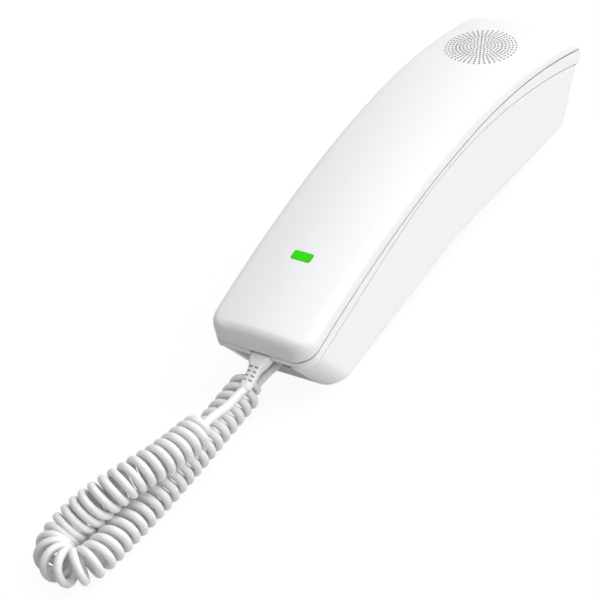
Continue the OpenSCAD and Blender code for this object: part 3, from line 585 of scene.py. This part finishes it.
# %% Loft the cover's two skins and join them at the parting line
def shell_of(name, outer, inner):
    """A closed wall between two stacks of rings that are open below."""
    verts, faces = [], []

    def skin(rings, flip):
        start, n = len(verts), len(rings[0])
        for ring in rings:
            verts.extend(ring)
        for i in range(len(rings) - 1):
            for k in range(n - 1):
                a, b = start + i * n + k, start + (i + 1) * n + k
                faces.append((a, a + 1, b + 1, b) if flip else (a, b, b + 1, a + 1))
        for i, turn in ((0, flip), (len(rings) - 1, not flip)):
            ring = rings[i]
            mid = np.mean(ring, axis=0)
            inner_ring = [tuple(mid + (np.array(p) - mid) * 0.96) for p in ring]
            at = len(verts)
            verts.extend(inner_ring)
            # a narrow rim of faces, and one flat face inside it
            for k in range(n - 1):
                a, b = start + i * n + k, at + k
                faces.append((a, a + 1, b + 1, b) if not turn else (a, b, b + 1, a + 1))
            a, b = start + i * n + n - 1, at + n - 1
            faces.append((a, start + i * n, at, b) if not turn else (a, b, at, start + i * n))
            faces.append(tuple(at + k for k in (range(n) if not turn else reversed(range(n)))))
        firsts = [start + i * n for i in range(len(rings))]
        return firsts, [v + n - 1 for v in firsts]

    right_out, left_out = skin(outer, False)
    right_in, left_in = skin(inner, True)
    loop_out, loop_in = right_out + left_out[::-1], right_in + left_in[::-1]
    for k in range(len(loop_out)):
        j = (k + 1) % len(loop_out)
        faces.append((loop_out[k], loop_in[k], loop_in[j], loop_out[j]))
    mesh = bpy.data.meshes.new(name)
    mesh.from_pydata([tuple(c * MM for c in v) for v in verts], [], faces)
    obj = new_object(name, mesh)
    bm = bmesh.new()
    bm.from_mesh(mesh)
    bmesh.ops.recalc_face_normals(bm, faces=bm.faces)
    open_edges = sum(len(e.link_faces) != 2 for e in bm.edges)
    if bm.calc_volume(signed=True) < 0:
        bmesh.ops.reverse_faces(bm, faces=bm.faces)
    bm.to_mesh(mesh)
    bm.free()
    print(name, "faces:", len(mesh.polygons), "open edges:", open_edges)
    return obj


cover = shell_of("handset_cover", [cover_ring(y, z, 0, chamfer_h) for y, z in cover_profile(0)],
                 [cover_ring(y, z, wall, 0.1) for y, z in cover_profile(wall)])

# %% [markdown]
# ## Perforations
# Sound leaves the ringer through rings of small holes. In the middle each ring has six holes
# more than the one inside it, so they stand evenly. Beyond the fifth ring every ring has the
# same number, so the holes line up as spokes. This is what Geometry Nodes does well: a row
# of numbers becomes points, ring by ring, and each carries a small pin. The pins are made real
# and cut away from the cover in one go.

# %% The pin pattern as a Geometry Nodes tree
rings_of_holes, even_rings, spokes, ring_step, hole_r = 10, 5, 42, 1.5, 0.55


def pattern_tree(name, inputs):
    """A Geometry Nodes tree with named inputs. Gives the tree, its input sockets and its end."""
    tree = bpy.data.node_groups.new(name, "GeometryNodeTree")
    for label, kind, value in inputs + [("Finish", "NodeSocketMaterial", None)]:
        s = tree.interface.new_socket(name=label, in_out="INPUT", socket_type=kind)
        if value is not None:
            s.default_value = value
    tree.interface.new_socket(name="Geometry", in_out="OUTPUT", socket_type="NodeSocketGeometry")
    return tree, tree.nodes.new("NodeGroupInput").outputs, tree.nodes.new("NodeGroupOutput").inputs


def stand_on_points(tree, count, place, shape, finish, end):
    """Puts one shape on every point, makes the copies real and gives them a material."""
    points = node(tree, "GeometryNodePoints", {"Count": count, "Position": place})
    each = node(tree, "GeometryNodeInstanceOnPoints", {"Points": points.outputs[0], "Instance": shape})
    real = node(tree, "GeometryNodeRealizeInstances", {"Geometry": each.outputs[0]})
    done = node(tree, "GeometryNodeSetMaterial", {"Geometry": real.outputs[0], "Material": finish})
    tree.links.new(done.outputs[0], end["Geometry"])


pins, given, end = pattern_tree("perforation_pins", [
    ("Rings", "NodeSocketInt", rings_of_holes), ("Even Rings", "NodeSocketInt", even_rings),
    ("Spokes", "NodeSocketInt", spokes), ("Ring Step", "NodeSocketFloat", ring_step * MM),
    ("Hole Radius", "NodeSocketFloat", hole_r * MM), ("Pin Length", "NodeSocketFloat", 9 * MM)])

# %% [markdown]
# Ring k of the even rings holds 6k holes, so 3k(k + 1) + 1 holes lie in the first k rings. Solving
# that for k gives each hole's ring from its number. Past the even rings a plain division does it.

# %% From a hole's number to its ring and its place in the ring
calc = math_in(pins)


def holes_within(rings, offset):
    """3 rings (rings + offset) + 1"""
    return calc("ADD", calc("MULTIPLY", calc("MULTIPLY", rings, calc("ADD", rings, offset)), 3.0), 1.0)


even = given["Even Rings"]
even_total = holes_within(even, 1.0)
total = calc("ADD", even_total, calc("MULTIPLY", given["Spokes"], calc("SUBTRACT", given["Rings"], even)))
index = node(pins, "GeometryNodeInputIndex").outputs[0]
root = calc("SQRT", calc("ADD", calc("MULTIPLY", index, 12.0), 9.0))
near_ring = calc("CEIL", calc("SUBTRACT", calc("DIVIDE", calc("SUBTRACT", root, 3.0), 6.0), 0.0001))
in_ring = calc("MAXIMUM", calc("MULTIPLY", near_ring, 6.0), 1.0)
near_share = calc("DIVIDE", calc("SUBTRACT", index, holes_within(near_ring, -1.0)), in_ring)
past = calc("SUBTRACT", index, even_total)
laps = calc("DIVIDE", past, given["Spokes"])
far_ring = calc("ADD", calc("ADD", even, 1.0), calc("FLOOR", laps))
is_far = calc("GREATER_THAN", past, -0.5)


def pick(near, far):
    return calc("ADD", near, calc("MULTIPLY", is_far, calc("SUBTRACT", far, near)))


# %% [markdown]
# A ring and a share of the circle give each hole its place. A pin there needs only twelve sides,
# because it is small and repeated hundreds of times.

# %% Pins on those places
out_to = calc("MULTIPLY", pick(near_ring, far_ring), given["Ring Step"])
turn = calc("MULTIPLY", pick(near_share, calc("FRACT", laps)), 2 * math.pi)
place = node(pins, "ShaderNodeCombineXYZ", {0: calc("MULTIPLY", out_to, calc("COSINE", turn)),
                                            1: calc("MULTIPLY", out_to, calc("SINE", turn))})
pin = node(pins, "GeometryNodeMeshCylinder", {"Vertices": 12, "Radius": given["Hole Radius"],
                                              "Depth": given["Pin Length"]})
stand_on_points(pins, total, place.outputs[0], pin.outputs["Mesh"], given["Finish"], end)


# %% [markdown]
# The export drops instances and modifiers, so the pattern is made a plain mesh first. A modifier
# takes its inputs by the socket's identifier. The pins are then moved to the ear end, square to
# the crown there.
# %% Turn a tree's result into a plain mesh
def grown(name, tree, settings):
    """Runs a Geometry Nodes tree on an empty mesh and keeps the result as a plain one."""
    holder = new_object(name + "_holder", bpy.data.meshes.new(name + "_holder"))
    mod = holder.modifiers.new("nodes", "NODES")
    mod.node_group = tree
    ids = {i.name: i.identifier for i in tree.interface.items_tree if i.in_out == "INPUT"}
    for k, v in settings.items():
        mod[ids[k]] = v
    mesh = bpy.data.meshes.new_from_object(holder.evaluated_get(bpy.context.evaluated_depsgraph_get()))
    holder.modifiers.remove(mod)
    bpy.data.objects.remove(holder)
    mesh.name = name
    return new_object(name, mesh)


def seam_place(s, n):
    """The frame on the parting line: Y along it and Z out of the cover."""
    y, z, a = seam_at(s)
    on_line = Matrix.Translation(Vector((0, y, z)) * MM) @ Matrix.Rotation(a, 4, "X")
    return on_line @ Matrix.Translation((0, 0, n * MM))


ear_s, lamp_s = 178.5, 42.2
cutters = grown("grille_pins", pins, {"Finish": finishes["black_plastic"]})
cutters.data.transform(seam_place(ear_s, crown_h - 1))
print("pins:", len(cutters.data.polygons) // 14)

# %% [markdown]
# A cutter is any closed mesh. The window's is a block with rounded corners, and the exact solver
# takes it out of the wall. A modifier shows the result first, and a plain mesh keeps it.

# %% Helpers for cutting
# the corners of a rounded rectangle: the sides they lie on and the angle their arc starts at
CORNERS = ((1, 1, 0), (-1, 1, math.pi / 2), (-1, -1, math.pi), (1, -1, 1.5 * math.pi))


def soft_block(name, w, l, r, z0, z1, corner_steps=6):
    """A block with rounded corners in plan, from z0 to z1."""
    pts = []
    for sx, sy, q in CORNERS:
        for i in range(corner_steps + 1):
            a = q + math.pi / 2 * i / corner_steps
            pts.append((sx * (w / 2 - r) + r * math.cos(a), sy * (l / 2 - r) + r * math.sin(a)))
    n = len(pts)
    verts = [(x * MM, y * MM, z * MM) for z in (z0, z1) for x, y in pts]
    faces = [tuple(reversed(range(n))), tuple(range(n, 2 * n))]
    faces += ring_faces(2, n)
    mesh = bpy.data.meshes.new(name)
    mesh.from_pydata(verts, [], faces)
    return new_object(name, mesh)


def cut(target, cutter):
    """Takes the cutter out of the target and removes the cutter."""
    mod = target.modifiers.new("cut", "BOOLEAN")
    mod.operation, mod.object, mod.solver = "DIFFERENCE", cutter, "EXACT"
    mesh = bpy.data.meshes.new_from_object(target.evaluated_get(bpy.context.evaluated_depsgraph_get()))
    target.modifiers.remove(mod)
    old, target.data = target.data, mesh
    bpy.data.meshes.remove(old)
    bpy.data.objects.remove(cutter)
    print(target.name, "faces after the cut:", len(mesh.polygons))


# %% [markdown]
# The lamp's window sits in the crown near the nose, and the holes are at the ear end. Each is
# turned with the crown at its place, so that it goes straight through the wall.

# %% Cut the holes and the lamp's window
window_w, window_l, window_r, window_bottom, window_top = 9.6, 4.6, 1, -3, 4
window = soft_block("lamp_window", window_w, window_l, window_r, window_bottom, window_top)
window.data.transform(seam_place(lamp_s, crown_h))
cut(cover, window)
cut(cover, cutters)
cover.data.name = "handset_cover"
cover.data.materials.clear()
cover.data.materials.append(finishes["white"])
cover.data.materials.append(finishes["painted_groove_shade"])
soften(cover)

# %% [markdown]
# The parting line is a thin dark groove. The chamfer's faces get painted shade, a dark grey that stands in for the
# shadow in the gap:
# they lie low, near the side, and face down and outwards.


# %% Paint shade into the parting line
def on_chamfer(face):
    """Whether a face of the cover lies on its chamfered lower edge."""
    x, y, z = (c / MM for c in face.center)
    above = z - lifted(seam_at(seam_reach(y, 0)), 0)[1]
    on_rim = abs(x) > plan_half(max(min(y, phone_l / 2), -phone_l / 2), 0) - 0.5
    return above < 0.4 and -0.85 < face.normal.z < -0.4 and on_rim


# the chamfer's faces take the painted shade of the parting line
for f in cover.data.polygons:
    f.material_index = 1 if on_chamfer(f) else 0
print("chamfer faces:", sum(f.material_index for f in cover.data.polygons))
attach(cover, "handset")
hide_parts("handset_outer_shell")

# %% [markdown]
# ## Strain relief
# Where the cord leaves the handset, a soft sleeve spreads the bend. It starts wide under the
# nose, tapers to a narrow neck, and short slots across the neck let it flex. A tapered piece is
# a loft again: rounded rings that shrink along a line, with the slots cut by a small
# Geometry Nodes pattern of blocks.

# %% Loft the sleeve
boot_x = 0.9
neck_slope = math.radians(15)
nose_y = -phone_l / 2


def rounded_ring(centre, across, up, w, h, r, steps=5):
    pts = []
    for sx, sy, q in CORNERS:
        for i in range(steps + 1):
            a = q + math.pi / 2 * i / steps
            sideways, upwards = sx * (w / 2 - r) + r * math.cos(a), sy * (h / 2 - r) + r * math.sin(a)
            pts.append(centre + across * sideways + up * upwards)
    return pts


def leaned(degrees):
    """The up direction of a ring that leans towards the table."""
    a = math.radians(degrees)
    return np.array((0, -math.sin(a), math.cos(a)))


# each ring's middle out from the nose and below the seam, its lean, width, height and corner
sleeve_rings = [(-4.6, 3.0, 0, 9.0, 4.6, 1.0), (-1.2, 3.1, 0, 9.1, 4.8, 1.2),
                (0.4, 3.2, 2, 9.1, 4.9, 1.4), (2.0, 3.5, 5, 8.7, 4.9, 1.6),
                (3.4, 4.0, 9, 7.6, 4.7, 1.8), (4.8, 4.6, 13, 6.3, 4.4, 1.8),
                (6.4, 5.3, 15, 5.6, 4.2, 1.8), (9.0, 6.2, 15, 5.4, 4.2, 1.8),
                (13.4, 7.6, 15, 5.3, 4.1, 1.8), (14.2, 7.8, 15, 4.6, 3.6, 1.7)]
path = np.array([(nose_y - out, seam_z - down, *rest) for out, down, *rest in sleeve_rings])
at = np.linspace(0, len(path) - 1, 46)
path = np.stack([np.interp(at, range(len(path)), path[:, k]) for k in range(6)], 1)
for _ in range(2):
    path[1:-1] = (path[:-2] + 2 * path[1:-1] + path[2:]) / 4
rings = [rounded_ring(np.array((boot_x, y, z)), np.array((1.0, 0, 0)), leaned(a), w, h, r)
         for y, z, a, w, h, r in path]
n = len(rings[0])
verts = [tuple(v * MM) for ring in rings for v in ring]
faces = ring_faces(len(rings), n)
faces += [tuple(range(n)), tuple(range((len(rings) - 1) * n, len(rings) * n))]
mesh = bpy.data.meshes.new("cord_sleeve")
mesh.from_pydata(verts, [], faces)
sleeve = new_object("cord_sleeve", mesh)
bm = bmesh.new()
bm.from_mesh(mesh)
bmesh.ops.recalc_face_normals(bm, faces=bm.faces)
bm.to_mesh(mesh)
bm.free()
print("sleeve faces:", len(mesh.polygons))

# %% [markdown]
# The slots lie in two columns along the neck. Even numbers go to one column and odd ones to the
# other, and every two numbers the row moves on.

# %% Slots across the neck, as a pattern of blocks
slots, given, end = pattern_tree("sleeve_slots", [
    ("Rows", "NodeSocketInt", 4), ("Row Step", "NodeSocketFloat", 2.0 * MM),
    ("Slot Width", "NodeSocketFloat", 1.75 * MM), ("Slot Length", "NodeSocketFloat", 0.85 * MM),
    ("Slot Depth", "NodeSocketFloat", 2.4 * MM), ("Spread", "NodeSocketFloat", 2.5 * MM)])
calc = math_in(slots)
index = node(slots, "GeometryNodeInputIndex").outputs[0]
row = calc("FLOOR", calc("DIVIDE", index, 2.0))
side = calc("SUBTRACT", calc("MODULO", index, 2.0), 0.5)
row_step = calc("MULTIPLY", given["Row Step"], -1.0)
place = node(slots, "ShaderNodeCombineXYZ", {0: calc("MULTIPLY", side, given["Spread"]),
                                             1: calc("MULTIPLY", row, row_step)})
size = node(slots, "ShaderNodeCombineXYZ", {0: given["Slot Width"], 1: given["Slot Length"],
                                            2: given["Slot Depth"]})
block = node(slots, "GeometryNodeMeshCube", {"Size": size.outputs[0]})
stand_on_points(slots, calc("MULTIPLY", given["Rows"], 2.0), place.outputs[0], block.outputs["Mesh"],
                given["Finish"], end)

blocks = grown("slot_blocks", slots, {"Finish": finishes["boot_white"]})
first_slot = Vector((boot_x, nose_y - 5.5, seam_z - 3.05))
blocks.data.transform(Matrix.Translation(first_slot * MM) @ Matrix.Rotation(neck_slope, 4, "X"))
cut(sleeve, blocks)
sleeve.data.name = "cord_sleeve"
sleeve.data.materials.clear()
sleeve.data.materials.append(finishes["boot_white"])
soften(sleeve, 40)
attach(sleeve, "handset")
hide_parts("cord_boot")

# %% [markdown]
# ## Key digits
# The keypad is in the handset's inner face. Each key carries a generic digit or sign, printed
# straight on its face: a text object turned into a thin mesh, which rides on its key.

# %% Print the keys
sign_h, ink_half = 4.6, 0.02
finish_of("key_ink", (0.045, 0.047, 0.05), 0.5, tone=0.2, soft_edge=False)
key_signs = {"key_star": "*", "key_hash": "#", **{f"key_{d}": str(d) for d in range(10)}}
press = {j["child"]: Vector(j["axis"]) for j in frame["joints"]}  # the way each key goes in
for key, sign in key_signs.items():
    text = bpy.data.curves.new(key + "_print", "FONT")
    text.body, text.size, text.extrude = sign, sign_h * MM, ink_half * MM
    text.align_x, text.align_y = "CENTER", "CENTER"
    holder = bpy.data.objects.new("text_holder", text)
    bpy.context.scene.collection.objects.link(holder)
    mesh = bpy.data.meshes.new_from_object(holder.evaluated_get(bpy.context.evaluated_depsgraph_get()))
    bpy.data.objects.remove(holder)
    mesh.name = key + "_print"
    co = np.array([v.co for v in mesh.vertices])
    mid = (co.max(0) + co.min(0)) / 2
    into = press[key].normalized()
    key_low, key_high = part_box(key)
    face_middle = (key_low + key_high) / 2
    verts = np.array([v.co for v in nodes[key].data.vertices])
    low = (verts @ np.array(into)).min()
    face_middle = face_middle + into * (low - face_middle.dot(into))
    right = Vector((-1, 0, 0))  # the keypad is read from below
    up = right.cross(into).normalized()
    if up.y < 0:
        up = -up
    turn = Matrix((right, up, right.cross(up))).transposed().to_4x4()
    mesh.transform(Matrix.Translation(face_middle) @ turn @ Matrix.Translation((-mid[0], -mid[1], 0)))
    printed = new_object(key + "_print", mesh)
    mesh.materials.clear()
    mesh.materials.append(finishes["key_ink"])
    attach(printed, key)
print("printed keys:", len(key_signs))

# %% [markdown]
# ## Light and floor
# A big soft light stands high at the ear end on the right, so the crown brightens along its
# length and the nose falls into shade. One from above and a low one from the right lift the crown
# and the base's side. The even grey of the studio fills the rest. The floor is white to the
# camera and in reflections, and keeps the phone's own soft shadow.

# %% Lights
def sun(name, towards, strength, spread):
    data = bpy.data.lights.new(name, "SUN")
    data.energy, data.angle = strength * math.pi, math.radians(spread)
    obj = bpy.data.objects.new(name, data)
    obj.rotation_euler = Vector(towards).to_track_quat("Z", "Y").to_euler()
    bpy.context.scene.collection.objects.link(obj)


sun("key_light", (0.50, 0.60, 0.62), 0.52, 60)
sun("top_light", (0.0, 0.20, 1.0), 0.41, 60)
sun("side_light", (1.0, -0.10, 0.12), 0.55, 40)
print("lights:", len(bpy.data.lights))

# %% [markdown]
# The world lights the phone from all sides with a dim grey, but the camera, reflections and clear
# plastic see it white. A Light Path node tells the two kinds of ray apart. It is used again in
# the floor, in its own material.


# %% The studio round the phone
def seen_directly(tree):
    """1 for rays from the camera, a reflection or clear plastic, and 0 for light on its way."""
    path = node(tree, "ShaderNodeLightPath").outputs
    calc = math_in(tree)
    seen = calc("ADD", path["Is Camera Ray"], path["Is Glossy Ray"])
    return calc("ADD", seen, path["Is Transmission Ray"], clamp=True)


world = bpy.data.worlds.new("studio")
bpy.context.scene.world = world
world.use_nodes = True
t = world.node_tree
# sockets 6 and 7 are the mix node's two colours: what lights the phone, and what is seen
shade = node(t, "ShaderNodeMix", {0: seen_directly(t), 6: (0.25, 0.25, 0.255, 1), 7: (1, 1, 1, 1)},
             data_type="RGBA")
t.links.new(shade.outputs[2], t.nodes["Background"].inputs["Color"])

# %% [markdown]
# The floor is one wide sheet with a gently swept edge, so it never shows a hard line. Its own
# colour is a plain pale grey, and what the camera or a reflection sees is lifted to white.

# %% Floor
def swept_floor(radius, lip):
    """A round sheet on the resting plane whose rim turns up softly."""
    profile = [(r, 0.0) for r in (0.0, 0.05, 0.15, 0.4, 0.9, radius)] + [
        (radius + lip * math.sin(a), lip * (1 - math.cos(a))) for a in np.linspace(0.15, math.pi / 2, 10)]
    sides = 96
    around = [2 * math.pi * k / sides for k in range(sides)]
    verts = [(r * math.cos(a), r * math.sin(a), z) for r, z in profile[1:] for a in around] + [(0, 0, 0)]
    faces = [face[::-1] for face in ring_faces(len(profile) - 1, sides)]
    faces += [(len(verts) - 1, k, (k + 1) % sides) for k in range(sides)]
    mesh = bpy.data.meshes.new("floor")
    mesh.from_pydata(verts, [], faces)
    mesh.shade_smooth()
    return new_object("floor", mesh)


floor = swept_floor(4.0, 0.2)
paper = bpy.data.materials.new("floor_paper")
paper.use_nodes = True
t = paper.node_tree
bsdf = t.nodes["Principled BSDF"]
bsdf.inputs["Base Color"].default_value = (0.45, 0.45, 0.455, 1)
bsdf.inputs["Roughness"].default_value = 0.9
bsdf.inputs["Specular IOR Level"].default_value = 0.1
lift = node(t, "ShaderNodeEmission", {"Color": (1, 1, 1, 1), "Strength": 1.15})
part_seen = math_in(t)("MULTIPLY", seen_directly(t), 0.8)
both = node(t, "ShaderNodeMixShader", {0: part_seen, 1: bsdf.outputs[0], 2: lift.outputs[0]})
t.links.new(both.outputs[0], t.nodes["Material Output"].inputs["Surface"])
floor.data.materials.append(paper)
print("floor faces:", len(floor.data.polygons))

bpy.context.scene.view_settings.view_transform = "Standard"
